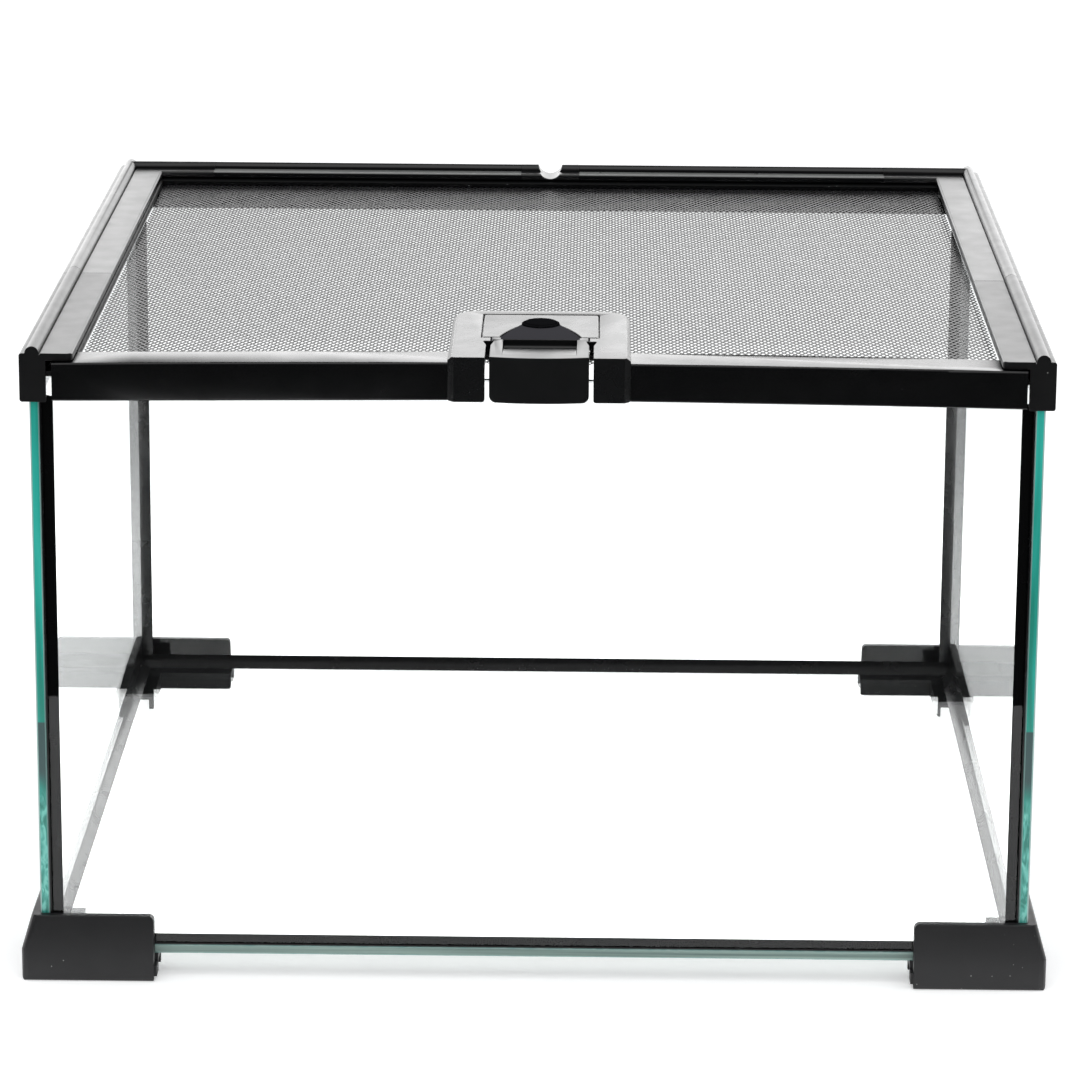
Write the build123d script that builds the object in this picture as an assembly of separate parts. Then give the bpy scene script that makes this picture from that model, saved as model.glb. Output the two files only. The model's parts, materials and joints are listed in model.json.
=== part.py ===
from build123d import *
import os
from math import cos, pi, sin, sqrt, tan, radians

# Glass reptile terrarium with a mesh lid that slides out to the front.
# Millimetres. Origin: centre of the footprint on the surface it stands on.
# +X is to the right, +Y to the back, +Z up; the front is at -Y.

# ---- driving dimensions: glass ----
TANK = 300.0            # outer width and depth of the glass box
GLASS = 3.0             # thickness of every pane
ARRIS = 0.3             # small bevel ground on the edges of a pane
FLOOR_LOW = 7.3         # underside of the floor pane
GLASS_TOP = 187.3       # top edge of the four walls
BOND = 0.4              # silicone between the floor pane and a wall
SIDE_BOND = 0.5         # silicone between a side wall and the front or rear wall

# ---- driving dimensions: silicone fillets ----
FRONT_LEG = 3.8         # legs of the upright fillets in the front corners
REAR_LEG = 3.6
FRONT_SEAL_TOP = 181.0  # the front fillets stop short of the lid
REAR_SEAL_TOP = 187.3
BASE_FRONT = (2.5, 2.4)   # (out along the floor, up the wall)
BASE_REAR = (3.0, 3.9)
BASE_SIDE = (3.0, 2.3)
HOLLOW = 0.42           # where the tooled face crosses the corner's diagonal, as a share of the leg

# ---- driving dimensions: feet ----
FOOT_OUT = 5.6          # how far a foot stands out of the glass
FOOT_TALL = 20.0
FOOT_STRAIGHT = 9.6     # height at which its faces start to lean in
FOOT_LEAN = 3.0
FOOT_ARM = 40.25        # length of each arm from the outer corner
FOOT_WALL = 2.0
FOOT_SHELF = 10.0       # how far the shelf reaches in under the floor pane
FOOT_SHELF_PROUD = 0.9  # the shelf and end web stand this far out of the arm's end
FOOT_CORNER = 2.5       # plan radius of the outer corner

# ---- driving dimensions: top rails ----
RAIL_OUT = 152.75       # outer face, from the middle of the tank
RAIL_LOW = 179.8
RAIL_TOP = 194.5
RAIL_CAP_IN = 144.85    # inner face of the closed front ends, and of the lid channel
FLANGE_LOW = 192.3      # underside of the flange over the lid
FLANGE_IN_SIDE = 136.9
FLANGE_IN_REAR = 140.9
BEAD_WIDE = 4.2
BEAD_OUT = 151.0
BEAD_TALL = 2.1
GROOVE_DEEP = 0.5
GROOVE_WIDE = 0.3
LEDGE_IN = 139.0        # the ledge that carries the lid
LEDGE_LOW = 187.5
LEDGE_TOP = 188.9
CAP_FRONT = -150.9      # front face of the closed ends
SIDE_SEAM = -35.0       # joint between the front and rear parts of a side rail
SEAM_GAP = 0.15
REAR_SEAM = 118.7       # joint between a corner rail and a rear length
CENTRE_HALF = 10.3      # half the width of the middle piece
CENTRE_SHIFT = 0.5      # the middle piece sits a little to the right
NOTCH_RADIUS = 4.2
NOTCH_AXIS = 197.1
FRAME_CORNER = 3.0      # plan radius of the rear corners

# ---- driving dimensions: lid ----
LID_SHIFT = 0.6         # the lid sits a little to the right in its channels
LID_HALF = 143.6
LID_LOW = 189.2
LID_TOP = 191.9
LID_INNER = 137.0       # inner edge of the side bars
LID_BACK = 144.3
LID_BACK_INNER = 137.9
BAR_FRONT = -152.5
BAR_BACK = -137.0
BAR_LOW = 180.5
BAR_SKIRT = 2.0
BAR_BOW = 1.3           # how far the front bars arch up between the side rails
MESH_LOW = 189.8
MESH_TOP = 190.2
MESH_GRIP = 2.8         # how far the bars hold the edge of the mesh
MESH_PITCH = (16.3, 30.4)   # diamonds across and along, far coarser than the real mesh
MESH_OPEN = 0.74        # width of a gap as a share of the pitch
KEY_LEG = 18.0
KEY_WIDE = 2.6
KEY_LOW = 190.35
KEY_TOP = 191.25
KEY_PLAY = 0.1

# ---- driving dimensions: latch, from the lid's own middle ----
LATCH_HALF = 27.0
LATCH_FRONT = -154.4
LATCH_BACK = -88.4
LATCH_LOW = 190.3
LATCH_TOP = 195.25
LATCH_BEVEL = 1.2
CHEEK_BEVEL = 1.8
CHEEK_LOW = 181.75
CHEEK_BACK = -150.6
LATCH_CORNER = 9.0
BAY_HALF = 16.0         # half the gap between the cheeks
BAY_FLARE = 16.85
SLOT_NARROW = -137.2    # where the slots start to widen
SLOT_WIDE = -132.6
SLOT_END = -131.8
WEB_FRONT = -135.6      # thin web that closes the rear of the slots from below
WEB_TOP = 190.8
NECK_HALF = 14.85       # half the width of the housing's well behind the slots
COVER_FRONT = -126.5
COVER_BACK = -95.2
COVER_HALF = 17.4
COVER_THICK = 1.2
SEAM_SIDE = 0.3         # gaps round the cover panel
SEAM_ENDS = 0.5
ARCH_SIDE = ((12.3, -125.6), (9.6, -117.4), (6.6, -111.3))   # cut-out round the mound, right side
ARCH_FRONT = -129.9
ARCH_BACK = -109.6
ARCH_SEAM = 0.45
SEAM_EASE = 0.3         # bevel along the cover's edges and its seat
TONGUE_HALF = 14.7
TONGUE_SIDE_FRONT = -153.3
TONGUE_BOW_FRONT = -155.05
TONGUE_LOW = 181.5
TONGUE_PLATE_LOW = 191.85
TONGUE_CORNER = 2.0
STEP_Y = -129.9         # upright step between the thumb hollow and the button's mound
HOLLOW_FRONT = -151.5
HOLLOW_DEEP = 2.5
HOLLOW_COVE = 1.2       # cove between its floor and the step
HOOK_LOW = 187.7
PIVOT_Y = -128.4
PIVOT_Z = 193.2
PIVOT_RADIUS = 1.1
PIVOT_PLAY = 0.1
BUTTON_Y = -118.0
BUTTON_TOP = 198.75
BUTTON_RING = 197.9     # top of the wider lower step
MOUND_TOP = 197.3
MOUND_TAPER = 57.0      # lean of the mound's flanks from upright
MOUND_SLOPE = 0.33      # rise of the mound's front per millimetre

HALF = TANK / 2
INNER = HALF - GLASS
FLOOR_TOP = FLOOR_LOW + GLASS
WALL_LOW = FLOOR_TOP + BOND


# ---- drawing helpers ----
def section(*corners):
    """Closed face through corners (u, v) or (u, v, radius)."""
    places = [Vector(c[0], c[1]) for c in corners]
    steps = []
    for i, corner in enumerate(corners):
        here = places[i]
        if len(corner) < 3:
            steps.append((here, None, here))
            continue
        back = (places[i - 1] - here).normalized()
        ahead = (places[(i + 1) % len(places)] - here).normalized()
        half_turn = radians(back.get_angle(ahead)) / 2
        reach = corner[2] / tan(half_turn)
        centre = here + (back + ahead).normalized() * (corner[2] / sin(half_turn))
        middle = centre + (here - centre).normalized() * corner[2]
        steps.append((here + back * reach, middle, here + ahead * reach))
    edges = []
    for i, (first, middle, last) in enumerate(steps):
        if middle is not None:
            edges.append(ThreePointArc(first, middle, last))
        following = steps[(i + 1) % len(steps)][0]
        if (following - last).length > 1e-6:
            edges.append(Line(last, following))
    return make_face(edges)


def along_x(face, low, high):
    """Extrude a face drawn in (y, z) from x = low to x = high."""
    placed = Plane((low, 0, 0), x_dir=(0, 1, 0), z_dir=(1, 0, 0)) * face
    return extrude(placed, amount=high - low, dir=(1, 0, 0))


def along_y(face, low, high):
    """Extrude a face drawn in (x, z) from y = low to y = high."""
    placed = Plane((0, low, 0), x_dir=(1, 0, 0), z_dir=(0, -1, 0)) * face
    return extrude(placed, amount=high - low, dir=(0, 1, 0))


def along_z(face, low, high):
    """Extrude a face drawn in (x, y) from z = low to z = high."""
    return extrude(Plane((0, 0, low)) * face, amount=high - low, dir=(0, 0, 1))


def block(x, y, z):
    """Box between the pairs of limits x, y and z."""
    size = [high - low for low, high in (x, y, z)]
    middle = [(high + low) / 2 for low, high in (x, y, z)]
    return Pos(*middle) * Box(*size)


def upright(x, y, radius, low, high):
    """Vertical cylinder."""
    return Pos(x, y, (low + high) / 2) * Cylinder(radius, high - low)


def flip_x(shape):
    return mirror(shape, about=Plane.YZ)


def flip_y(shape):
    return mirror(shape, about=Plane.XZ)


# ---- glass ----
def pane(x, y, z):
    slab = block(x, y, z)
    return chamfer(slab.edges(), ARRIS)


def floor_pane():
    return pane((-HALF, HALF), (-HALF, HALF), (FLOOR_LOW, FLOOR_TOP))


def front_pane():
    reach = INNER - SIDE_BOND
    return pane((-reach, reach), (-HALF, -INNER), (WALL_LOW, GLASS_TOP))


def left_pane():
    return pane((-HALF, -INNER), (-HALF, HALF), (WALL_LOW, GLASS_TOP))


# ---- silicone ----
def base_seal_section(out, up):
    """Bond line under a wall with the tooled fillet inside it, drawn towards +u."""
    toe, top = (INNER - out, FLOOR_TOP), (INNER, WALL_LOW + up)
    dip = (INNER - out * HOLLOW, FLOOR_TOP + (up + BOND) * HOLLOW)
    edges = [
        Line((HALF, FLOOR_TOP), (HALF, WALL_LOW)),
        Line((HALF, WALL_LOW), (INNER, WALL_LOW)),
        Line((INNER, WALL_LOW), top),
        ThreePointArc(top, dip, toe),
        Line(toe, (HALF, FLOOR_TOP)),
    ]
    return make_face(edges)


def base_seal_rear():
    return along_x(base_seal_section(*BASE_REAR), -INNER, INNER)


def base_seal_front():
    return flip_y(along_x(base_seal_section(*BASE_FRONT), -INNER, INNER))


def base_seal_right():
    bead = along_y(base_seal_section(*BASE_SIDE), -INNER + BASE_FRONT[0], INNER - BASE_REAR[0])
    bond = block((INNER, HALF), (-HALF, HALF), (FLOOR_TOP, WALL_LOW))
    return bead + bond


def corner_seal(leg, low, high):
    """Upright fillet in the right rear corner, with the bond line beside the wall's end."""
    corner, dip = INNER, INNER - leg * HOLLOW
    fillet_face = make_face([
        Line((corner, corner - leg), (corner, corner)),
        Line((corner, corner), (corner - leg, corner)),
        ThreePointArc((corner - leg, corner), (dip, dip), (corner, corner - leg)),
    ])
    bond = block((INNER - SIDE_BOND, INNER), (INNER, HALF), (WALL_LOW, GLASS_TOP))
    return along_z(fillet_face, low, high) + bond


def corner_seal_front():
    low = WALL_LOW + max(BASE_FRONT[1], BASE_SIDE[1])
    return flip_y(corner_seal(FRONT_LEG, low, FRONT_SEAL_TOP))


def corner_seal_rear():
    return corner_seal(REAR_LEG, WALL_LOW + BASE_REAR[1], REAR_SEAL_TOP)


# ---- feet ----
def foot_arm():
    """The arm along X of the foot under the rear right corner."""
    out = HALF + FOOT_OUT
    end = out - FOOT_ARM
    wall = section(
        (HALF, FLOOR_LOW - 2.4), (out - FOOT_WALL, FLOOR_LOW - 2.4), (out - FOOT_WALL, 0),
        (out, 0, 1.2), (out, FOOT_STRAIGHT), (out - FOOT_LEAN, FOOT_TALL, 0.7), (HALF, FOOT_TALL),
    )
    shelf = section(
        (HALF - FOOT_SHELF, FLOOR_LOW), (HALF - FOOT_SHELF, 1.5), (HALF - FOOT_SHELF + FOOT_WALL, 1.5),
        (HALF - FOOT_SHELF + FOOT_WALL, FLOOR_LOW - 2.4), (HALF, FLOOR_LOW - 2.4), (HALF, FLOOR_LOW),
    )
    side_view = section((end, 0, 0.5), (out, 0), (out, FOOT_TALL), (end, FOOT_TALL, 1.7))
    trimmed = along_x(wall, end, out) & along_y(side_view, HALF - 20, out + 1)
    end_web = block((end - FOOT_SHELF_PROUD, end + FOOT_WALL), (HALF - 1, out - 1), (1.5, FLOOR_LOW - 2.4))
    rib = block((end + 14, end + 14 + 1.6), (HALF - FOOT_SHELF + 1, out - 1), (1.5, FLOOR_LOW - 2.4))
    arm = trimmed + along_x(shelf, end - FOOT_SHELF_PROUD, out) + end_web + rib
    keep = make_face(Polyline((end - 5, HALF + 20), (out + 5, HALF + 20), (out + 5, out + 5),
                              (end - 5, end - 5), close=True))
    return arm & along_z(keep, -1, FOOT_TALL + 1)


def foot_envelope(out):
    """Plan of a foot's quarter, with the rounded outer corner drawn in four facets."""
    turns = [radians(22.5 * i) for i in range(5)]
    middle = out - FOOT_CORNER
    corner = [(middle + FOOT_CORNER * cos(turn), middle + FOOT_CORNER * sin(turn)) for turn in turns]
    return make_face(Polyline((0, 0), (out, 0), *corner, (0, out), close=True))


def foot():
    """Rear right foot: two arms mitred at the corner, outer corner rounded."""
    arm = foot_arm()
    other = mirror(arm, about=Plane((0, 0, 0), z_dir=(1, -1, 0)))
    lower, upper = (foot_envelope(HALF + FOOT_OUT - lean) for lean in (0, FOOT_LEAN))
    envelope = along_z(lower, -1, FOOT_STRAIGHT)
    envelope += loft([Pos(0, 0, FOOT_STRAIGHT) * lower, Pos(0, 0, FOOT_TALL) * upper], ruled=True)
    return (arm + other) & envelope


# ---- top rails ----
def bead_and_flange(flange_in):
    """Upper corners of a rail, from the outer shoulder to the flange's edge."""
    inner = BEAD_OUT - BEAD_WIDE
    return [
        (RAIL_OUT, RAIL_TOP, 0.8), (BEAD_OUT, RAIL_TOP),
        (BEAD_OUT, RAIL_TOP + BEAD_TALL, BEAD_WIDE / 2), (inner, RAIL_TOP + BEAD_TALL, BEAD_WIDE / 2),
        (inner, RAIL_TOP - GROOVE_DEEP), (inner - GROOVE_WIDE, RAIL_TOP - GROOVE_DEEP),
        (inner - GROOVE_WIDE, RAIL_TOP),
        (flange_in, RAIL_TOP, 0.8), (flange_in, FLANGE_LOW, 0.4), (RAIL_CAP_IN, FLANGE_LOW),
    ]


def rail_section(flange_in):
    """Rail outline on the right or rear wall: skirt, bead, flange, lid channel and ledge."""
    return section(
        (RAIL_OUT, RAIL_LOW, 0.8), *bead_and_flange(flange_in), (RAIL_CAP_IN, LEDGE_TOP),
        (LEDGE_IN, LEDGE_TOP), (LEDGE_IN, LEDGE_LOW), (INNER, LEDGE_LOW), (INNER, GLASS_TOP),
        (HALF, GLASS_TOP), (HALF, RAIL_LOW),
    )


def side_rail_front():
    """Right front moulding with its closed end; the flange's free corner is rounded."""
    run = along_y(rail_section(FLANGE_IN_SIDE), -HALF, SIDE_SEAM - SEAM_GAP)
    end = section((RAIL_OUT, RAIL_LOW, 0.8), *bead_and_flange(FLANGE_IN_SIDE), (RAIL_CAP_IN, RAIL_LOW, 0.5))
    moulding = run + along_y(end, CAP_FRONT, -HALF)
    radius = 2.2
    x, y = FLANGE_IN_SIDE + radius, CAP_FRONT + radius
    waste = block((FLANGE_IN_SIDE - 1, x), (CAP_FRONT - 1, y), (FLANGE_LOW - 0.2, RAIL_TOP + 0.2))
    return moulding - (waste - upright(x, y, radius, FLANGE_LOW - 1, RAIL_TOP + 1))


def corner_rail():
    """Right rear corner: the side's rear part and the first length of the rear rail."""
    bead_inner, crest = BEAD_OUT - BEAD_WIDE, BEAD_OUT - BEAD_WIDE / 2
    side = along_y(rail_section(FLANGE_IN_SIDE), SIDE_SEAM, RAIL_OUT)
    rear = along_x(rail_section(FLANGE_IN_REAR), REAR_SEAM, crest)
    heel = block((crest, RAIL_OUT - 0.5), (HALF, RAIL_OUT), (RAIL_LOW, LEDGE_TOP))
    wall = block((bead_inner, RAIL_OUT - 2), (RAIL_CAP_IN, RAIL_OUT), (LEDGE_TOP, RAIL_TOP - 1))
    plan = section((0, -40), (RAIL_OUT, -40), (RAIL_OUT, RAIL_OUT, FRAME_CORNER), (0, RAIL_OUT))
    moulding = (side + rear + heel + wall) & along_z(plan, RAIL_LOW - 1, RAIL_TOP + 5)
    groove, deep = (bead_inner - GROOVE_WIDE, bead_inner), (RAIL_TOP - GROOVE_DEEP, RAIL_TOP + 0.2)
    moulding -= block(groove, (SIDE_SEAM, bead_inner), deep)
    return moulding - block((REAR_SEAM, bead_inner), groove, deep)


def rear_rail(side):
    """Plain length between a corner rail and the middle piece; side is 1 right, -1 left."""
    ends = sorted((CENTRE_SHIFT + side * CENTRE_HALF, side * REAR_SEAM))
    return along_x(rail_section(FLANGE_IN_REAR), *ends)


def rear_rail_centre():
    """Middle piece of the rear rail with the half-round cable notch."""
    piece = along_x(rail_section(FLANGE_IN_REAR), CENTRE_SHIFT - CENTRE_HALF, CENTRE_SHIFT + CENTRE_HALF)
    cutter = Pos(CENTRE_SHIFT, HALF, NOTCH_AXIS) * Rot(90, 0, 0) * Cylinder(NOTCH_RADIUS, 40)
    return piece - cutter


# ---- lid ----
def corner_key(play=0.0):
    """L-shaped key in the right rear corner of the lid; with play, the pocket it slides into."""
    x, y = (LID_INNER + LID_HALF) / 2 + 1.4, (LID_BACK_INNER + LID_BACK) / 2 + 1.1
    half = KEY_WIDE / 2 + play
    low, high = KEY_LOW - play, KEY_TOP + play
    across = block((x - KEY_LEG - play, x + half), (y - half, y + half), (low, high))
    back = block((x - half, x + half), (y - KEY_LEG - play, y + half), (low, high))
    return across + back


def front_key(play=0.0):
    """The same key turned for the right front corner."""
    y_rear = (LID_BACK_INNER + LID_BACK) / 2 + 1.1
    return Pos(0, -145.5 + y_rear, 0) * flip_y(corner_key(play))


def side_bar():
    """Right side bar: the mesh lies in the rebate under its inner edge."""
    outline = section(
        (LID_HALF, LID_LOW, 0.4), (LID_HALF, LID_TOP, 0.4), (LID_INNER, LID_TOP, 0.6),
        (LID_INNER, MESH_TOP), (LID_INNER + MESH_GRIP, MESH_TOP), (LID_INNER + MESH_GRIP, LID_LOW),
    )
    bar = along_y(outline, BAR_BACK, LID_BACK_INNER)
    return bar - corner_key(KEY_PLAY) - front_key(KEY_PLAY)


def rear_bar():
    outline = section(
        (LID_BACK, LID_LOW, 0.4), (LID_BACK, LID_TOP, 0.4), (LID_BACK_INNER, LID_TOP, 0.6),
        (LID_BACK_INNER, MESH_TOP), (LID_BACK_INNER + MESH_GRIP, MESH_TOP),
        (LID_BACK_INNER + MESH_GRIP, LID_LOW),
    )
    bar = along_x(outline, -LID_HALF, LID_HALF)
    return bar - corner_key(KEY_PLAY) - flip_x(corner_key(KEY_PLAY))


def front_bar():
    """Right half of the front bar: bowed top and skirt, flat underside with the mesh's rebate."""
    outline = section(
        (BAR_FRONT, BAR_LOW, 0.5), (BAR_FRONT, LID_TOP, 0.8), (BAR_BACK, LID_TOP, 0.6),
        (BAR_BACK, LID_LOW + 0.5), (BAR_FRONT + BAR_SKIRT, LID_LOW + 0.5), (BAR_FRONT + BAR_SKIRT, BAR_LOW, 0.5),
    )
    radius = LID_HALF ** 2 / (2 * BAR_BOW)
    pivot = Axis((0, 0, LID_LOW + BAR_BOW - radius), (0, 1, 0))
    middle = Plane((0, 0, BAR_BOW), x_dir=(0, 1, 0), z_dir=(1, 0, 0)) * outline
    bowed = revolve(middle, pivot, revolution_arc=1.05 * LID_HALF / radius * 180 / pi)
    bar = bowed & block((LATCH_HALF, LID_HALF), (-160, -130), (170, 200))
    bar += block((LATCH_HALF, LID_HALF), (BAR_FRONT + 0.5, BAR_BACK), (LID_LOW, LID_TOP - 0.7))
    rebate = block((LATCH_HALF - 1, LID_HALF + 1), (BAR_BACK - MESH_GRIP, BAR_BACK + 1), (LID_LOW - 1, MESH_TOP))
    return bar - rebate - front_key(KEY_PLAY)


def mesh_sheet():
    """Expanded metal sheet: staggered diamonds, drawn much coarser than the real mesh."""
    half_x = LID_INNER + MESH_GRIP - 0.2
    front, back = BAR_BACK - MESH_GRIP + 0.2, LID_BACK_INNER + MESH_GRIP - 0.2
    sheet = Pos(0, (front + back) / 2) * Rectangle(2 * half_x, back - front)
    wide, long = MESH_PITCH
    diamond = Polyline((wide * MESH_OPEN / 2, 0), (0, long * MESH_OPEN / 2),
                       (-wide * MESH_OPEN / 2, 0), (0, -long * MESH_OPEN / 2), close=True)
    columns = int(LID_INNER / wide)
    rows = int((LID_BACK_INNER - BAR_BACK) / long) * 2 - 1
    middle = (BAR_BACK + LID_BACK_INNER) / 2
    gaps = []
    for row in range(rows):
        y = middle + (row - (rows - 1) / 2) * long / 2
        shift = 0.5 if row % 2 else 0.0
        for column in range(-columns, columns + (0 if row % 2 else 1)):
            gaps.append(Pos((column + shift) * wide, y) * make_face(diamond))
    outer = sheet.faces()[0].outer_wire()
    holes = [gap.faces()[0].outer_wire() for gap in gaps]
    print("mesh gaps:", len(holes))
    return along_z(Face(outer, holes), MESH_LOW, MESH_TOP)


def mesh_retainer():
    """Four strips that close the rebates below the edge of the mesh."""
    low, high = LID_LOW + 0.05, MESH_LOW
    inner, outer = LID_INNER + 0.2, LID_INNER + MESH_GRIP - 0.2
    front, back = BAR_BACK, LID_BACK_INNER
    side = block((inner, outer), (front, back), (low, high))
    rear = block((-outer, outer), (back + 0.2, back + MESH_GRIP - 0.2), (low, high))
    near = block((BAY_HALF + 0.5, outer), (front - MESH_GRIP + 0.2, front - 0.2), (low, high))
    half = side + near
    return half + flip_x(half) + rear


# ---- latch ----
def cover_outline(side=0.0, ends=0.0):
    """Outline of the cover panel, or with gaps at its sides and ends that of its seat."""
    half, front, back = COVER_HALF + side, COVER_FRONT - ends, COVER_BACK + ends
    return section((-half, front), (-half, back, 0.8), (half, back, 0.8), (half, front))


def arch_outline(gap=0.0):
    """Outline of the arch in the cover; with a gap, that of the mound inside it."""
    foot_point, middle, top = [(x - gap, y) for x, y in ARCH_SIDE]
    left = [(-x, y) for x, y in (foot_point, middle, top)]
    front = ARCH_FRONT if gap else ARCH_FRONT - 1
    return make_face([
        Polyline(left[0], (left[0][0], front), (foot_point[0], front), foot_point),
        ThreePointArc(foot_point, middle, top), ThreePointArc(top, (0, ARCH_BACK - gap), left[2]),
        ThreePointArc(left[2], left[1], left[0]),
    ])


def eased(face, low, high, bevel):
    """Upright prism whose top edge narrows by the bevel, or widens where it is negative."""
    width = abs(bevel)
    body = along_z(face, low, high - width)
    top = offset(face, -bevel, kind=Kind.INTERSECTION)
    return body + loft([Pos(0, 0, high - width) * face, Pos(0, 0, high) * top], ruled=True)


def housing_block():
    """Upper block of the housing with its bevelled outer edges."""
    plan = section(
        (-LATCH_HALF + CHEEK_BEVEL, LATCH_FRONT), (-LATCH_HALF, LATCH_FRONT + CHEEK_BEVEL),
        (-LATCH_HALF, LATCH_BACK, LATCH_CORNER), (LATCH_HALF, LATCH_BACK, LATCH_CORNER),
        (LATCH_HALF, LATCH_FRONT + CHEEK_BEVEL), (LATCH_HALF - CHEEK_BEVEL, LATCH_FRONT),
    )
    upper = along_z(plan, LATCH_LOW, LATCH_TOP)
    rim = upper.faces().sort_by(Axis.Z)[-1].edges().filter_by(lambda e: e.center().Y > LATCH_FRONT + 1.5)
    return chamfer(rim, LATCH_BEVEL)


def cheek():
    """Right cheek: the part of the housing that hangs in front of the glass."""
    plan = section(
        (BAY_HALF, CHEEK_BACK), (BAY_HALF, LATCH_FRONT), (LATCH_HALF - CHEEK_BEVEL, LATCH_FRONT),
        (LATCH_HALF, LATCH_FRONT + CHEEK_BEVEL), (LATCH_HALF, CHEEK_BACK),
    )
    front_view = section((BAY_HALF, CHEEK_LOW, 0.8), (LATCH_HALF, CHEEK_LOW, 0.5),
                         (LATCH_HALF, LATCH_LOW + 1), (BAY_HALF, LATCH_LOW + 1))
    return along_z(plan, CHEEK_LOW, LATCH_LOW + 1) & along_y(front_view, LATCH_FRONT - 1, CHEEK_BACK)


def latch_housing():
    body = housing_block() + cheek() + flip_x(cheek())
    bay = section(
        (-BAY_HALF, LATCH_FRONT - 2), (-BAY_HALF, SLOT_NARROW), (-BAY_FLARE, SLOT_WIDE),
        (-BAY_FLARE, SLOT_END, 0.5), (BAY_FLARE, SLOT_END, 0.5), (BAY_FLARE, SLOT_WIDE),
        (BAY_HALF, SLOT_NARROW), (BAY_HALF, LATCH_FRONT - 2),
    )
    body -= along_z(bay, LATCH_LOW - 1, LATCH_TOP + 1)
    body += block((-BAY_FLARE - 0.3, BAY_FLARE + 0.3), (WEB_FRONT, SLOT_END + 0.3), (LATCH_LOW, WEB_TOP))
    body -= block((-NECK_HALF, NECK_HALF), (SLOT_END, COVER_FRONT + 1), (WEB_TOP, LATCH_TOP + 1))
    body -= eased(cover_outline(SEAM_SIDE, SEAM_ENDS), LATCH_TOP - COVER_THICK, LATCH_TOP, -SEAM_EASE)
    body -= block((-NECK_HALF, NECK_HALF), (COVER_FRONT - 2, COVER_BACK - 2), (LATCH_LOW - 1, LATCH_TOP))
    socket = Pos(0, PIVOT_Y, PIVOT_Z) * Rot(0, 90, 0) * Cylinder(PIVOT_RADIUS + PIVOT_PLAY, 2 * NECK_HALF + 2.8)
    return body - socket


def latch_cover():
    """Flush panel behind the tongue, cut out in an arch round the button's mound."""
    panel = eased(cover_outline(), LATCH_TOP - COVER_THICK, LATCH_TOP, SEAM_EASE)
    return panel - eased(arch_outline(), LATCH_TOP - COVER_THICK, LATCH_TOP, -SEAM_EASE / 2)


def tongue_plate():
    """Bowed front skirt and the flat top with its thumb hollow."""
    side_back, wide, narrow = COVER_FRONT - SEAM_ENDS, TONGUE_HALF, TONGUE_HALF - 0.8
    outline = [
        Line((-wide, TONGUE_SIDE_FRONT), (-wide, SLOT_NARROW)),
        Polyline((-wide, SLOT_NARROW), (-narrow, SLOT_WIDE), (-narrow, SLOT_END), (-wide, SLOT_END),
                 (-wide, side_back), (wide, side_back), (wide, SLOT_END), (narrow, SLOT_END),
                 (narrow, SLOT_WIDE), (wide, SLOT_NARROW), (wide, TONGUE_SIDE_FRONT)),
        ThreePointArc((wide, TONGUE_SIDE_FRONT), (0, TONGUE_BOW_FRONT), (-wide, TONGUE_SIDE_FRONT)),
    ]
    front_view = section(
        (-wide, TONGUE_LOW, TONGUE_CORNER), (wide, TONGUE_LOW, TONGUE_CORNER),
        (wide, LATCH_TOP, 0.4), (-wide, LATCH_TOP, 0.4),
    )
    solid = along_z(make_face(outline), TONGUE_LOW, LATCH_TOP) & along_y(front_view, -160, side_back)
    solid -= block((-wide - 1, wide + 1), (CHEEK_BACK, side_back + 1), (TONGUE_LOW - 1, TONGUE_PLATE_LOW))
    return solid


def thumb_hollow():
    """Cutter: a floor that dips towards the back, a cove and an upright step."""
    cove, low = HOLLOW_COVE, LATCH_TOP - HOLLOW_DEEP
    floor_end = (STEP_Y - cove, low)
    middle = ((HOLLOW_FRONT + floor_end[0]) / 2, LATCH_TOP - HOLLOW_DEEP / 4)
    bend = (STEP_Y - cove * (1 - sin(pi / 4)), low + cove * (1 - cos(pi / 4)))
    face = make_face([
        ThreePointArc((HOLLOW_FRONT, LATCH_TOP), middle, floor_end),
        ThreePointArc(floor_end, bend, (STEP_Y, low + cove)),
        Polyline((STEP_Y, low + cove), (STEP_Y, 200), (HOLLOW_FRONT, 200), (HOLLOW_FRONT, LATCH_TOP)),
    ])
    return along_x(face, -11.0, 11.0)


def button():
    """Round button in two steps with a crowned top, drawn as two shallow cones."""
    low, edge = BUTTON_RING - 1.5, BUTTON_TOP - 0.45
    outline = make_face(Polyline(
        (0, low), (5.7, low), (5.7, BUTTON_RING - 0.2), (5.5, BUTTON_RING), (4.95, BUTTON_RING),
        (4.95, edge - 0.25), (4.7, edge), (2.8, BUTTON_TOP - 0.12), (0, BUTTON_TOP), close=True,
    ))
    return Pos(0, BUTTON_Y, 0) * revolve(Plane.XZ * outline, Axis.Z)


def button_mound():
    """Mound under the button: leaning flanks and a flat front that rises from the step."""
    low = LATCH_TOP - 0.15
    outline = arch_outline(ARCH_SEAM)
    flanks = extrude(Pos(0, 0, low) * outline, amount=MOUND_TOP - low, dir=(0, 0, 1), taper=MOUND_TAPER)
    ahead, reach = 2.0, 30.0
    below_front = section(
        (STEP_Y - ahead, LATCH_TOP - ahead * MOUND_SLOPE), (STEP_Y + reach, LATCH_TOP + reach * MOUND_SLOPE),
        (STEP_Y + reach, low - 2), (STEP_Y - ahead, low - 2),
    )
    return along_z(outline, low - 1.5, low) + (flanks & along_x(below_front, -20, 20)) + button()


def latch_tongue():
    whole = tongue_plate() + button_mound() - thumb_hollow()
    hook = block((-10, 10), (-146.4, -144.9), (HOOK_LOW, TONGUE_PLATE_LOW + 0.5))
    stub = Pos(0, PIVOT_Y, PIVOT_Z) * Rot(0, 90, 0) * Cylinder(PIVOT_RADIUS, 2 * NECK_HALF + 2.2)
    return whole + hook + stub


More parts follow.
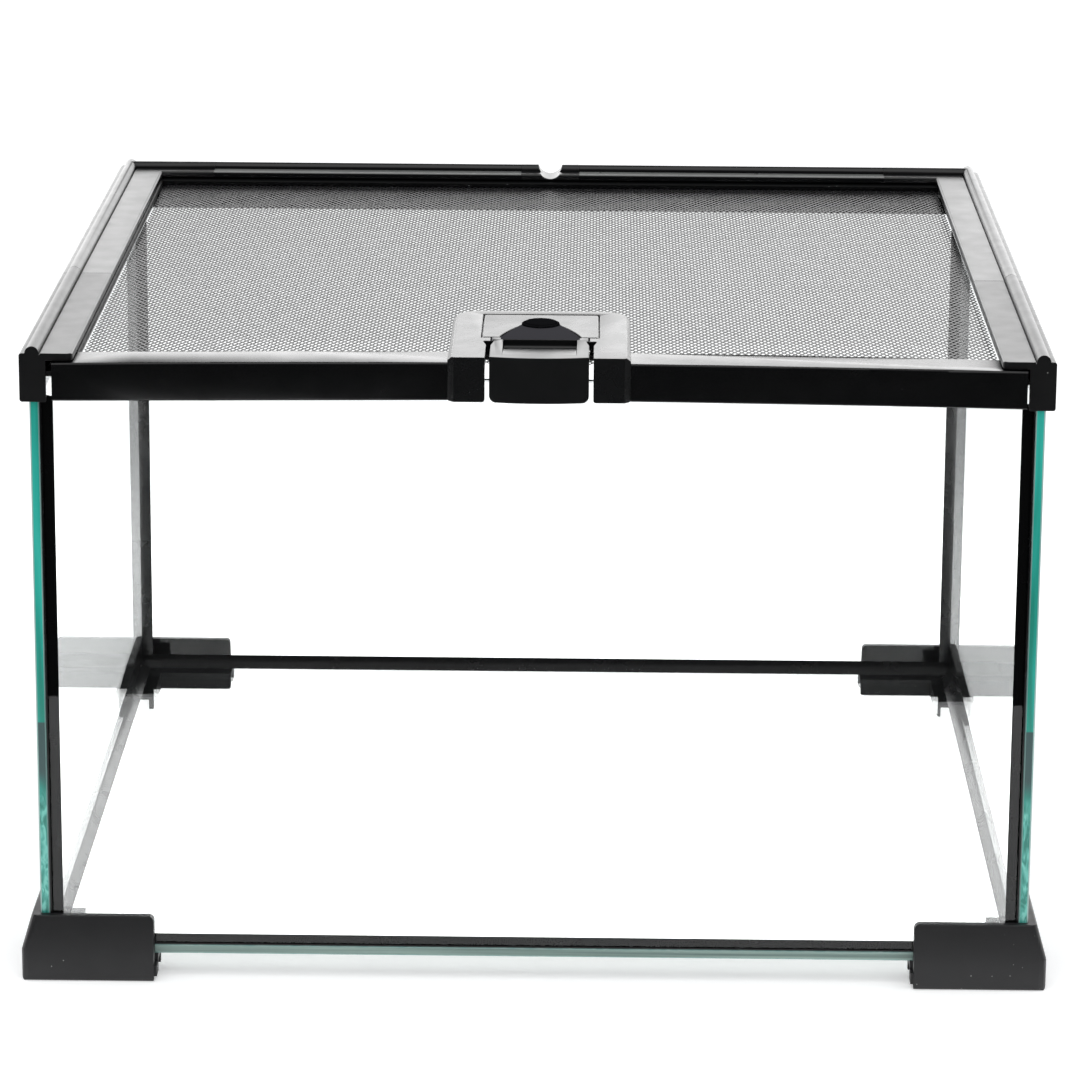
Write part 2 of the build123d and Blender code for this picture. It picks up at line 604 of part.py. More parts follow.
# ---- writing ----
def save(name, shape):
    shape.label = name
    export_step(shape, f"parts/{name}.step")


def save_pair(stem, shape, first="left", second="right"):
    """Write a right-hand shape and its mirror image."""
    save(f"{stem}_{second}", shape)
    save(f"{stem}_{first}", flip_x(shape))


def save_corners(stem, rear, front):
    for end, shape in (("rear", rear), ("front", front)):
        save_pair(f"{stem}_{end}", shape)


def write_tank():
    save("bottom_glass", floor_pane())
    save("front_glass", front_pane())
    save("rear_glass", flip_y(front_pane()))
    save("left_glass", left_pane())
    save("right_glass", flip_x(left_pane()))
    save("base_seal_front", base_seal_front())
    save("base_seal_rear", base_seal_rear())
    save_pair("base_seal", base_seal_right())
    save_corners("corner_seal", corner_seal_rear(), corner_seal_front())
    save_corners("foot", foot(), flip_y(foot()))


def write_rails():
    for side, shape in (("right", side_rail_front()), ("left", flip_x(side_rail_front()))):
        save(f"side_rail_{side}_front", shape)
    save_pair("corner_rail", corner_rail())
    save("rear_rail_right", rear_rail(1))
    save("rear_rail_left", rear_rail(-1))
    save("rear_rail_centre", rear_rail_centre())


def write_lid():
    place = Pos(LID_SHIFT, 0, 0)
    for side, turn in (("right", lambda shape: shape), ("left", flip_x)):
        save(f"lid_bar_{side}", place * turn(side_bar()))
        save(f"lid_bar_front_{side}", place * turn(front_bar()))
        save(f"lid_key_rear_{side}", place * turn(corner_key()))
        save(f"lid_key_front_{side}", place * turn(front_key()))
    save("lid_bar_rear", place * rear_bar())
    save("lid_mesh", place * mesh_sheet())
    save("mesh_retainer", place * mesh_retainer())
    save("latch_housing", place * latch_housing())
    save("latch_cover", place * latch_cover())
    save("latch_tongue", place * latch_tongue())


os.makedirs("parts", exist_ok=True)
write_tank()
write_rails()
write_lid()
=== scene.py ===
"""Looks for the glass reptile terrarium: finishes, fine mesh, glass, studio and camera.

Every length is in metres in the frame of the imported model: +X right, +Y back, +Z up,
with the origin at the middle of the footprint.
"""

from __future__ import annotations

import json
import logging
import math
from dataclasses import dataclass, field
from enum import Enum
from typing import Any, Callable, Iterable, Sequence

import bmesh
import bpy
from mathutils import Matrix, Vector

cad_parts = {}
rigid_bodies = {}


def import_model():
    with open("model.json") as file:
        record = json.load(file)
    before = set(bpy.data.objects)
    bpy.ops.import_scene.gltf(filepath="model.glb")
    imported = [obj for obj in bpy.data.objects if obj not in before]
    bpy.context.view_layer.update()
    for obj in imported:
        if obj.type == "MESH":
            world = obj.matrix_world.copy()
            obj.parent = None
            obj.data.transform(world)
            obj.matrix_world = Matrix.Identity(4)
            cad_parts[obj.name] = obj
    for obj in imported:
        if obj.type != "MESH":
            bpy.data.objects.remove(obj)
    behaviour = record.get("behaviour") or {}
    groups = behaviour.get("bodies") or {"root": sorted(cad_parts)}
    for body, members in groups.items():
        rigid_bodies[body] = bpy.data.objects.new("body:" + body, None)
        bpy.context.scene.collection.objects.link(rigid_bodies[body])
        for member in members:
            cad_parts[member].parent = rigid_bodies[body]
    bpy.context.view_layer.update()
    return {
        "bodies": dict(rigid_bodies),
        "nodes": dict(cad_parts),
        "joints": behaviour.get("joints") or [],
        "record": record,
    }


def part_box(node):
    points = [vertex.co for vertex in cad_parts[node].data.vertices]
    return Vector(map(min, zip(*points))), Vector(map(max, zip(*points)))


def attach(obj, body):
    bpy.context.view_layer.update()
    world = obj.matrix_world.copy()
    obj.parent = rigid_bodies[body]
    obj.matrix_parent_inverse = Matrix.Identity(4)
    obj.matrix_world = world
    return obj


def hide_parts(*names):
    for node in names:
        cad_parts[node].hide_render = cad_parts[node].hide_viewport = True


LOG = logging.getLogger("terrarium")
MM = 0.001
CREASE = math.radians(32.0)  # a sharper edge is eased and shaded sharp
FLAT = math.radians(0.8)  # facets that turn less than this are one face
WELD = 2e-6  # corners closer than this are one corner
WHITE = (1.0, 1.0, 1.0, 1.0)

Colour = tuple[float, float, float]
Value = float | tuple | bpy.types.NodeSocket  # what a node's input can be given


class Body(Enum):
    """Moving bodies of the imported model."""

    TANK = "tank"
    LID = "lid"
    LATCH = "latch"


class Slot(Enum):
    """Material slots of the record."""

    GLASS = "glass"
    SILICONE = "silicone"
    FOOT = "foot_plastic"
    FRAME = "frame_plastic"
    REAR = "rear_plastic"
    LID = "lid_plastic"
    KEY = "key_plastic"
    MESH = "mesh"
    LATCH = "latch_plastic"
    TONGUE = "tongue_plastic"


# --------------------------------------------------------------------------- node building
class Nodes:
    """Small builder over one shader or geometry node tree."""

    def __init__(self, tree: bpy.types.NodeTree) -> None:
        """Keeps the tree that the nodes go into."""
        self.tree = tree

    def add(self, kind: str, inputs: dict | None = None, **settings: Any) -> bpy.types.Node:
        """Adds a node.

        Args:
            kind: The node's type name in bpy.
            inputs: Values or sockets by input name or number.
            settings: Attributes set on the node.
        Returns:
            The new node.
        """
        node = self.tree.nodes.new(kind)
        for name, value in settings.items():
            setattr(node, name, value)
        for name, value in (inputs or {}).items():
            self.feed(node.inputs[name], value)
        return node

    def feed(self, socket: bpy.types.NodeSocket, value: Value) -> None:
        """Links a socket to an input, or sets the input's own value.

        Args:
            socket: The input.
            value: A socket to link, or the value to set.
        """
        if isinstance(value, bpy.types.NodeSocket):
            self.tree.links.new(value, socket)
        else:
            socket.default_value = value

    def math(self, operation: str, *values: Value) -> bpy.types.NodeSocket:
        """Math node over one to three sockets or numbers; returns its result."""
        return self.add("ShaderNodeMath", dict(enumerate(values)), operation=operation).outputs[0]

    def fade(self, factor: Value, start: float, end: float) -> bpy.types.NodeSocket:
        """Value that goes from start, where the factor is 0, to end, where it is 1."""
        return self.math("MULTIPLY_ADD", factor, end - start, start)

    def flipped(self, factor: Value) -> bpy.types.NodeSocket:
        """One minus the factor."""
        return self.math("SUBTRACT", 1.0, factor)

    def smooth(self, value: Value, low: float, high: float) -> bpy.types.NodeSocket:
        """Smooth step of a value.

        Args:
            value: The value.
            low: Where the step starts at 0.
            high: Where it ends at 1.
        Returns:
            The step.
        """
        node = self.add("ShaderNodeMapRange", {"Value": value, "From Min": low, "From Max": high})
        node.interpolation_type = "SMOOTHSTEP"
        return node.outputs["Result"]

    def place(self) -> bpy.types.NodeSocket:
        """Object coordinates of the shaded point."""
        return self.add("ShaderNodeTexCoord").outputs["Object"]

    def noise(self, place: Value, scale: Value, detail: float,
              **more: float) -> bpy.types.NodeSocket:
        """Noise texture.

        Args:
            place: Where it is read.
            scale: Its scale, per metre.
            detail: Number of finer layers.
            more: Further inputs by name.
        Returns:
            Its value.
        """
        inputs = {"Vector": place, "Scale": scale, "Detail": detail, **more}
        return self.add("ShaderNodeTexNoise", inputs).outputs[0]

    def ramp(self, factor: Value, stops: Iterable[tuple[float, Colour]]) -> bpy.types.NodeSocket:
        """Colour ramp.

        Args:
            factor: The value that picks the colour.
            stops: Pairs of position and colour.
        Returns:
            The colour.
        """
        node = self.add("ShaderNodeValToRGB", {"Fac": factor})
        elements = node.color_ramp.elements
        for number, (position, colour) in enumerate(stops):
            element = elements[number] if number < len(elements) else elements.new(position)
            element.position = position
            element.color = (*colour, 1.0)
        return node.outputs["Color"]

    def mix(self, factor: Value, first: Value, second: Value) -> bpy.types.NodeSocket:
        """Mix of two colours.

        Args:
            factor: Share of the second colour.
            first: Colour at 0.
            second: Colour at 1.
        Returns:
            The mixed colour.
        """
        node = self.add("ShaderNodeMix", data_type="RGBA")
        self.feed(node.inputs[0], factor)
        for number, colour in ((6, first), (7, second)):
            self.feed(node.inputs[number], (*colour, 1.0) if isinstance(colour, tuple) else colour)
        return node.outputs[2]

    def shaders(self, factor: Value, first: bpy.types.Node,
                second: bpy.types.Node) -> bpy.types.Node:
        """Mix of two shaders; the second one shows where the factor is 1."""
        return self.add("ShaderNodeMixShader", {
            0: factor, 1: first.outputs[0], 2: second.outputs[0]})

    def group(self, group: bpy.types.NodeTree, **inputs: Value) -> bpy.types.Node:
        """Places a node group.

        Args:
            group: The group.
            inputs: Its inputs by name.
        Returns:
            The group's node.
        """
        node = self.add("ShaderNodeGroup", node_tree=group)
        for name, value in inputs.items():
            self.feed(node.inputs[name], value)
        return node


def new_group(name: str, inputs: Iterable[tuple[str, float]],
              outputs: Iterable[tuple[str, str]]) -> tuple[Nodes, bpy.types.Node, bpy.types.Node]:
    """Makes an empty shader group with float inputs and typed outputs.

    Args:
        name: Name of the group.
        inputs: Pairs of input name and default value.
        outputs: Pairs of output name and socket type.
    Returns:
        The builder, the group's input node and its output node.
    """
    tree = bpy.data.node_groups.new(name, "ShaderNodeTree")
    for label, default in inputs:
        socket = tree.interface.new_socket(label, in_out="INPUT", socket_type="NodeSocketFloat")
        socket.default_value = default
    for label, kind in outputs:
        tree.interface.new_socket(label, in_out="OUTPUT", socket_type=kind)
    nodes = Nodes(tree)
    return nodes, nodes.add("NodeGroupInput"), nodes.add("NodeGroupOutput")


def grain_group() -> bpy.types.NodeTree:
    """Moulded surface: fine pebbled normal, slow flow ripple and a mottling value.

    Returns:
        The group.
    """
    nodes, given, out = new_group(
        "moulded_grain",
        [("Scale", 2500.0), ("Depth", 0.00001), ("Ripple", 0.00002)],
        [("Normal", "NodeSocketVector"), ("Mottle", "NodeSocketFloat")],
    )
    place = nodes.place()
    fine = nodes.noise(place, given.outputs["Scale"], 2.0, Roughness=0.55)
    slow = nodes.noise(place, 55.0, 1.0)
    wave = nodes.add("ShaderNodeBump", {"Height": slow, "Distance": given.outputs["Ripple"]})
    bump = nodes.add("ShaderNodeBump", {
        "Height": fine, "Distance": given.outputs["Depth"], "Normal": wave.outputs[0]})
    nodes.feed(out.inputs["Normal"], bump.outputs[0])
    nodes.feed(out.inputs["Mottle"], nodes.noise(place, 140.0, 3.0))
    return nodes.tree


def dust_group() -> bpy.types.NodeTree:
    """Sparse pale specks; Mask is 1 on a speck.

    Returns:
        The group.
    """
    nodes, given, out = new_group(
        "dust_specks",
        [("Scale", 1100.0), ("Amount", 0.02), ("Radius", 0.24)],
        [("Mask", "NodeSocketFloat")],
    )
    cells = nodes.add("ShaderNodeTexVoronoi", {
        "Vector": nodes.place(), "Scale": given.outputs["Scale"]})
    chosen = nodes.add("ShaderNodeSeparateColor", {"Color": cells.outputs["Color"]})
    kept = nodes.math("LESS_THAN", chosen.outputs[0], given.outputs["Amount"])
    size = nodes.math("MULTIPLY", chosen.outputs[1], given.outputs["Radius"])
    near = nodes.math("LESS_THAN", cells.outputs["Distance"], size)
    nodes.feed(out.inputs["Mask"], nodes.math("MULTIPLY", kept, near))
    return nodes.tree


# --------------------------------------------------------------------------- materials
@dataclass(frozen=True)
class Plastic:
    """One moulded or extruded finish.

    Attributes:
        colour: Linear base colour.
        roughness: Roughness of the skin between the grain.
        spread: How far the mottling moves the roughness.
        grain: Scale of the grain, per metre.
        depth: Height of the grain, in metres.
        ripple: Height of the slow ripple, in metres.
        dust: Share of the speck cells that hold a speck.
        specular: Specular level of the skin.
    """

    colour: Colour
    roughness: float
    spread: float = 0.05
    grain: float = 2600.0
    depth: float = 0.000004
    ripple: float = 0.000004
    dust: float = 0.004
    specular: float = 0.5


PLASTICS: dict[str, Plastic] = {
    "foot_plastic": Plastic((0.0095, 0.0093, 0.0105), 0.48, spread=0.1, grain=1800.0,
                            depth=0.000022, ripple=0.000006, dust=0.012),
    "foot_plastic_worn": Plastic((0.0135, 0.0133, 0.0145), 0.46, spread=0.1, grain=1800.0,
                                 depth=0.000022, ripple=0.000006, dust=0.03),
    "frame_plastic": Plastic((0.0045, 0.0045, 0.005), 0.3, ripple=0.000002),
    "frame_plastic_front": Plastic((0.0045, 0.0045, 0.005), 0.335, depth=0.000005,
                                   ripple=0.000002, dust=0.006, specular=0.49),
    "rear_plastic": Plastic((0.004, 0.004, 0.0045), 0.14, spread=0.04, grain=900.0,
                            depth=0.0000015),
    # painted highlight: pale grey on the rear flange tops stands in for a bright line of reflected
    # light
    "rear_plastic_pale": Plastic((0.16, 0.165, 0.16), 0.3, spread=0.06, grain=900.0,
                                 depth=0.0000015),
    "lid_plastic": Plastic((0.0014, 0.0016, 0.0019), 0.25, grain=1600.0, depth=0.000003,
                           ripple=0.000005),
    "lid_plastic_dull": Plastic((0.0014, 0.0016, 0.0019), 0.5, grain=1600.0, depth=0.000003,
                                ripple=0.000005, specular=0.15),
    "key_plastic": Plastic((0.01, 0.01, 0.011), 0.4, spread=0.06, grain=2500.0,
                           depth=0.000006, ripple=0.00001),
    "latch_plastic": Plastic((0.0035, 0.0038, 0.0042), 0.27),
    "tongue_plastic": Plastic((0.0035, 0.0038, 0.0042), 0.3),
    # painted sheen: the mound is the tongue's black plastic, drawn lighter grey without gloss in
    # place of its sheen
    "mound_plastic": Plastic((0.042, 0.041, 0.046), 0.6, spread=0.04, depth=0.00001, dust=0.0,
                             specular=0.0),
    "button_rubber": Plastic((0.006, 0.006, 0.0068), 0.6, spread=0.04, grain=3200.0,
                             depth=0.00001, dust=0.0, specular=0.0),
}


@dataclass(frozen=True)
class GroundEdge:
    """Finish of a pane's ground edge.

    Attributes:
        shades: Dark, middle and light colour of the streaks.
        streak: Scale of the streaks along each axis, per metre.
        wavy: Dark, middle and light colour of the chipped grinding near the floor, if there is any.
        clear: Colour of the zone above it, darker than the edge: a painted reflection.
        painted_reflection_zone: Heights at which that zone begins, is full and ends.
    """

    shades: tuple[Colour, Colour, Colour]
    streak: Colour = (260.0, 260.0, 14.0)
    wavy: tuple[Colour, ...] = ()
    # painted reflection: the dark band of the edge above the grinding
    clear: Colour = (0.035, 0.08, 0.08)
    painted_reflection_zone: tuple[float, float, float] = (0.055, 0.066, 0.0803)


EDGES: dict[str, GroundEdge] = {
    "glass_edge": GroundEdge(
        ((0.008, 0.22, 0.165), (0.017, 0.36, 0.29), (0.035, 0.46, 0.38)),
        wavy=((0.025, 0.2, 0.16), (0.07, 0.35, 0.29), (0.16, 0.52, 0.45))),
    # the floor pane's edge is teal greyed by a painted reflection
    "glass_edge_floor": GroundEdge(
        ((0.07, 0.11, 0.1), (0.17, 0.25, 0.225), (0.27, 0.37, 0.33)), streak=(9.0, 9.0, 700.0)),
    # painted highlight: the bevel beside a ground end is drawn paler to stand for light along the
    # arris
    "glass_arris": GroundEdge(((0.2, 0.36, 0.34), (0.26, 0.42, 0.39), (0.36, 0.5, 0.47))),
}


class Materials:
    """Builds each material once and hands it out by name; a slot's own material has its name."""

    DUST_COLOUR: Colour = (0.32, 0.32, 0.31)
    DUST_COVER = 0.7  # how much of the plastic's colour a speck hides
    DUST_ROUGHNESS = 0.8
    PLASTIC_IOR = 1.5
    SILICONE_IOR = 1.41
    COATING_IOR = 1.42
    GLASS_IOR = 1.52

    def __init__(self) -> None:
        """Builds the shared groups and every material."""
        self.grain = grain_group()
        self.dust = dust_group()
        self.named = {name: self._plastic(name, finish) for name, finish in PLASTICS.items()}
        self.named["silicone"] = self._silicone()
        self.named["mesh"] = self._coated_metal()
        self.named["glass"] = self._clear_glass()
        self.named.update({name: self._glass_edge(name, edge) for name, edge in EDGES.items()})

    @staticmethod
    def _blank(name: str) -> tuple[bpy.types.Material, Nodes]:
        """Makes an empty material.

        Args:
            name: Its name.
        Returns:
            The material and the builder over its tree.
        """
        material = bpy.data.materials.new(name)
        material.use_nodes = True
        material.node_tree.nodes.clear()
        return material, Nodes(material.node_tree)

    @staticmethod
    def _finish(nodes: Nodes, surface: bpy.types.Node) -> None:
        """Feeds the shader to the material's output."""
        nodes.add("ShaderNodeOutputMaterial", {"Surface": surface.outputs[0]})

    def _plastic(self, name: str, finish: Plastic) -> bpy.types.Material:
        """Plastic with grain, ripple and specks.

        Args:
            name: Name of the material.
            finish: Its values.
        Returns:
            The material.
        """
        material, nodes = self._blank(name)
        grain = nodes.group(self.grain, Scale=finish.grain, Depth=finish.depth,
                            Ripple=finish.ripple)
        specks = nodes.group(self.dust, Amount=finish.dust).outputs[0]
        base = nodes.mix(nodes.math("MULTIPLY", specks, self.DUST_COVER), finish.colour,
                         self.DUST_COLOUR)
        mottle = nodes.math("SUBTRACT", grain.outputs["Mottle"], 0.5)
        rough = nodes.math("MULTIPLY_ADD", mottle, finish.spread * 2.0, finish.roughness)
        rough = nodes.math("MAXIMUM", rough, nodes.math("MULTIPLY", specks, self.DUST_ROUGHNESS))
        self._finish(nodes, nodes.add("ShaderNodeBsdfPrincipled", {
            "Base Color": base, "Roughness": rough, "Normal": grain.outputs["Normal"],
            "IOR": self.PLASTIC_IOR, "Specular IOR Level": finish.specular}))
        return material

    def _silicone(self) -> bpy.types.Material:
        """Black silicone with the drag marks of the tool that smoothed it.

        Returns:
            The material.
        """
        material, nodes = self._blank("silicone")
        lumps = nodes.noise(nodes.place(), 120.0, 3.0)
        ripple = nodes.add("ShaderNodeBump", {"Height": lumps, "Distance": 0.00018})
        self._finish(nodes, nodes.add("ShaderNodeBsdfPrincipled", {
            "Base Color": (0.004, 0.004, 0.0045, 1.0), "Roughness": nodes.fade(lumps, 0.12, 0.37),
            "Normal": ripple.outputs[0], "IOR": self.SILICONE_IOR}))
        return material

    def _coated_metal(self) -> bpy.types.Material:
        """Black coated expanded metal, with a coat that varies a little.

        Returns:
            The material.
        """
        material, nodes = self._blank("mesh")
        mottle = nodes.noise(nodes.place(), 900.0, 2.0)
        base = nodes.mix(mottle, (0.008, 0.008, 0.009), (0.02, 0.02, 0.021))
        self._finish(nodes, nodes.add("ShaderNodeBsdfPrincipled", {
            "Base Color": base, "Roughness": nodes.fade(mottle, 0.25, 0.37),
            "IOR": self.COATING_IOR}))
        return material

    def _clear_glass(self) -> bpy.types.Material:
        """Float glass: clear through a pane, teal along it, and clear to shadow rays.

        Returns:
            The material.
        """
        material, nodes = self._blank("glass")
        skin = nodes.add("ShaderNodeBsdfPrincipled", {
            "Base Color": WHITE, "Roughness": 0.0, "IOR": self.GLASS_IOR,
            "Transmission Weight": 1.0})
        clear = nodes.add("ShaderNodeBsdfTransparent", {"Color": (0.97, 0.985, 0.98, 1.0)})
        shadow = nodes.add("ShaderNodeLightPath").outputs["Is Shadow Ray"]
        tint = nodes.add("ShaderNodeVolumeAbsorption", {
            "Color": (0.25, 0.9, 0.8, 1.0), "Density": 4.0})
        nodes.add("ShaderNodeOutputMaterial", {
            "Surface": nodes.shaders(shadow, skin, clear).outputs[0], "Volume": tint.outputs[0]})
        return material

    def _glass_edge(self, name: str, edge: GroundEdge) -> bpy.types.Material:
        """Ground edge: teal light scattered out of the pane, streaked along its length.

        Args:
            name: Name of the material.
            edge: Its values.
        Returns:
            The material.
        """
        material, nodes = self._blank(name)
        place = nodes.place()
        stretched = nodes.add("ShaderNodeMapping", {"Vector": place, "Scale": edge.streak})
        streaks = nodes.noise(stretched.outputs[0], 1.0, 2.0)
        colour = nodes.ramp(streaks, zip((0.3, 0.5, 0.72), edge.shades))
        if edge.wavy:
            colour = self._chipped_foot_and_painted_reflection(nodes, place, colour, edge)
        self._finish(nodes, nodes.add("ShaderNodeBsdfPrincipled", {
            "Base Color": colour, "Roughness": 0.22, "IOR": self.GLASS_IOR}))
        return material

    @staticmethod
    def _chipped_foot_and_painted_reflection(nodes: Nodes, place: Value, colour: Value,
                      edge: GroundEdge) -> bpy.types.NodeSocket:
        """Wavy grinding near the floor, with the zone above it darkened as a painted reflection.

        Args:
            nodes: Builder over the material's tree.
            place: Object coordinates.
            colour: Colour of the rest of the edge.
            edge: Values of the edge.
        Returns:
            The colour with both zones laid over it.
        """
        turned = nodes.add("ShaderNodeMapping", {
            "Vector": place, "Rotation": (0.0, 0.6, 0.0), "Scale": (420.0, 420.0, 150.0)})
        chips = nodes.noise(turned.outputs[0], 1.0, 2.0, Distortion=1.6)
        waves = nodes.ramp(chips, zip((0.34, 0.5, 0.62), edge.wavy))
        height = nodes.add("ShaderNodeSeparateXYZ", {0: place}).outputs["Z"]
        low, high, top = edge.painted_reflection_zone
        colour = nodes.mix(nodes.smooth(height, low, low + 0.5 * (high - low)), waves, colour)
        # the dark band laid over the edge here is a painted reflection
        zone = nodes.math("MULTIPLY", nodes.smooth(height, low, high),
                          nodes.flipped(nodes.smooth(height, top, top + 0.5 * MM)))
        return nodes.mix(zone, colour, edge.clear)


# --------------------------------------------------------------------------- mesh helpers
def link(name: str, mesh: bpy.types.Mesh) -> bpy.types.Object:
    """Puts a mesh into the scene.

    Args:
        name: Name of the object.
        mesh: Its mesh, with its place in it.
    Returns:
        The object, at the origin.
    """
    piece = bpy.data.objects.new(name, mesh)
    bpy.context.scene.collection.objects.link(piece)
    return piece


def applied(piece: bpy.types.Object) -> bpy.types.Object:
    """Bakes a piece's modifiers into its mesh.

    Args:
        piece: The piece.
    Returns:
        The same piece, without modifiers.
    """
    graph = bpy.context.evaluated_depsgraph_get()
    mesh = bpy.data.meshes.new_from_object(piece.evaluated_get(graph))
    piece.modifiers.clear()
    piece.data = mesh
    return piece


def seat(piece: bpy.types.Object, body: Body, node: str) -> None:
    """Puts a finished piece in place of its CAD node and reports it.

    Args:
        piece: The piece.
        body: The body it rides on.
        node: The CAD node it replaces.
    """
    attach(piece, body.value)
    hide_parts(node)
    LOG.info("%s: %d faces on %s", piece.name, len(piece.data.polygons), body.value)


def softened(node: bpy.types.Object, width: float, clamp: bool = True) -> bpy.types.Object:
    """Copy of a CAD node with its hard edges eased, as a mould leaves them.

    Args:
        node: The CAD node's object.
        width: Width of the eased edge in metres.
        clamp: Keeps the eased edges from running into each other.
    Returns:
        The new piece, which isn't riding or replacing anything yet.
    """
    mesh = node.data.copy()
    shape = bmesh.new()
    shape.from_mesh(mesh)
    bmesh.ops.remove_doubles(shape, verts=shape.verts, dist=WELD)
    bmesh.ops.dissolve_limit(shape, angle_limit=FLAT, verts=shape.verts, edges=shape.edges,
                             use_dissolve_boundaries=False)
    for face in shape.faces:
        face.smooth = True
    shape.to_mesh(mesh)
    shape.free()
    mesh.set_sharp_from_angle(angle=CREASE)
    piece = link(node.name + "_skin", mesh)
    ease = piece.modifiers.new("ease", "BEVEL")
    ease.width = width
    ease.segments = 2
    ease.limit_method = "ANGLE"
    ease.angle_limit = CREASE
    ease.harden_normals = True
    ease.use_clamp_overlap = clamp
    ease.miter_outer = "MITER_ARC"
    return applied(piece)


def named(stem: str, *ends: str) -> list[str]:
    """Names made of a stem and each ending."""
    return [f"{stem}_{end}" for end in ends]


# --------------------------------------------------------------------------- moulded pieces
@dataclass
class Trim:
    """Plastic nodes that share a finish and an edge radius.

    Attributes:
        nodes: CAD nodes that are replaced.
        slot: Their material slot.
        body: The body they ride on.
        ease: Width of the eased edges in metres.
        finish: Name of the material, where it isn't the slot's own.
        patches: Names of further materials, each with a test of the centres of its faces.
        clamp: Keeps eased edges from running into each other.
    """

    nodes: Sequence[str]
    slot: Slot
    body: Body
    ease: float
    finish: str = ""
    patches: Sequence[tuple[str, Callable[[Vector], bool]]] = ()
    clamp: bool = True

    def dress(self, frame: dict, materials: Materials) -> None:
        """Replaces each node with its eased copy in the right finish.

        Args:
            frame: The loaded frame.
            materials: The finishes.
        """
        for name in self.nodes:
            piece = softened(frame["nodes"][name], self.ease, self.clamp)
            piece.data.materials.clear()
            piece.data.materials.append(materials.named[self.finish or self.slot.value])
            for index, (finish, patched) in enumerate(self.patches, 1):
                piece.data.materials.append(materials.named[finish])
                for face in piece.data.polygons:
                    if patched(face.center):
                        face.material_index = index
            seat(piece, self.body, name)


class Mouldings:
    """A sub-assembly of moulded pieces, each made from its CAD node."""

    def trims(self) -> list[Trim]:
        """Its pieces by finish; each sub-assembly gives its own."""
        raise NotImplementedError

    def build(self, frame: dict, materials: Materials) -> None:
        """Dresses every piece of the sub-assembly.

        Args:
            frame: The loaded frame.
            materials: The finishes.
        """
        for trim in self.trims():
            trim.dress(frame, materials)


@dataclass
class Feet(Mouldings):
    """Four corner feet with grained walls; the right front one is more worn.

    Attributes:
        ease: Width of the eased edges.
    """

    ease: float = 0.35 * MM

    def trims(self) -> list[Trim]:
        """The feet by finish.

        Returns:
            The three plain feet and the worn one.
        """
        plain = named("foot", "front_left", "rear_left", "rear_right")
        return [Trim(plain, Slot.FOOT, Body.TANK, self.ease),
                Trim(["foot_front_right"], Slot.FOOT, Body.TANK, self.ease, "foot_plastic_worn")]


@dataclass
class TopRails(Mouldings):
    """Top rails of the tank: dull side rails and corners, glossy lengths at the rear with a painted
    highlight on their flange.

    Attributes:
        ease: Width of the eased edges of the moulded rails.
        rear_ease: Width of those of the glossy lengths.
        flange_above: Height above which a face of a glossy length may be its flange's top.
        flange_depth: Front and rear limit of that top.
    """

    ease: float = 0.15 * MM
    rear_ease: float = 0.12 * MM
    flange_above: float = 194.2 * MM
    flange_depth: tuple[float, float] = (141.0 * MM, 146.7 * MM)

    def on_flange(self, centre: Vector) -> bool:
        """True on the level flange behind the rear rail's bead, where a highlight is painted in
        pale grey.
        """
        front, rear = self.flange_depth
        return centre.z > self.flange_above and front < centre.y < rear

    def trims(self) -> list[Trim]:
        """The rails by finish.

        Returns:
            The front side rails, the corners with the middle piece, and the glossy lengths, whose
            flange tops carry a painted highlight.
        """
        return [
            Trim(named("side_rail", "left_front", "right_front"), Slot.FRAME, Body.TANK, self.ease,
                 "frame_plastic_front"),
            Trim(["corner_rail_left", "corner_rail_right", "rear_rail_centre"], Slot.FRAME,
                 Body.TANK, self.ease),
            # the flange tops of the glossy lengths are painted pale grey, a painted highlight
            Trim(named("rear_rail", "left", "right"), Slot.REAR, Body.TANK, self.rear_ease,
                 patches=[("rear_plastic_pale", self.on_flange)]),
        ]


@dataclass
class LidBars(Mouldings):
    """Bars of the lid: glossy at the front, dull in the channels.

    Attributes:
        ease: Width of the eased edges.
    """

    ease: float = 0.12 * MM

    def trims(self) -> list[Trim]:
        """The bars by finish.

        Returns:
            The halves of the front bar, and the other three bars.
        """
        return [Trim(named("lid_bar", "front_left", "front_right"), Slot.LID, Body.LID, self.ease),
                Trim(named("lid_bar", "left", "right", "rear"), Slot.LID, Body.LID, self.ease,
                     "lid_plastic_dull")]


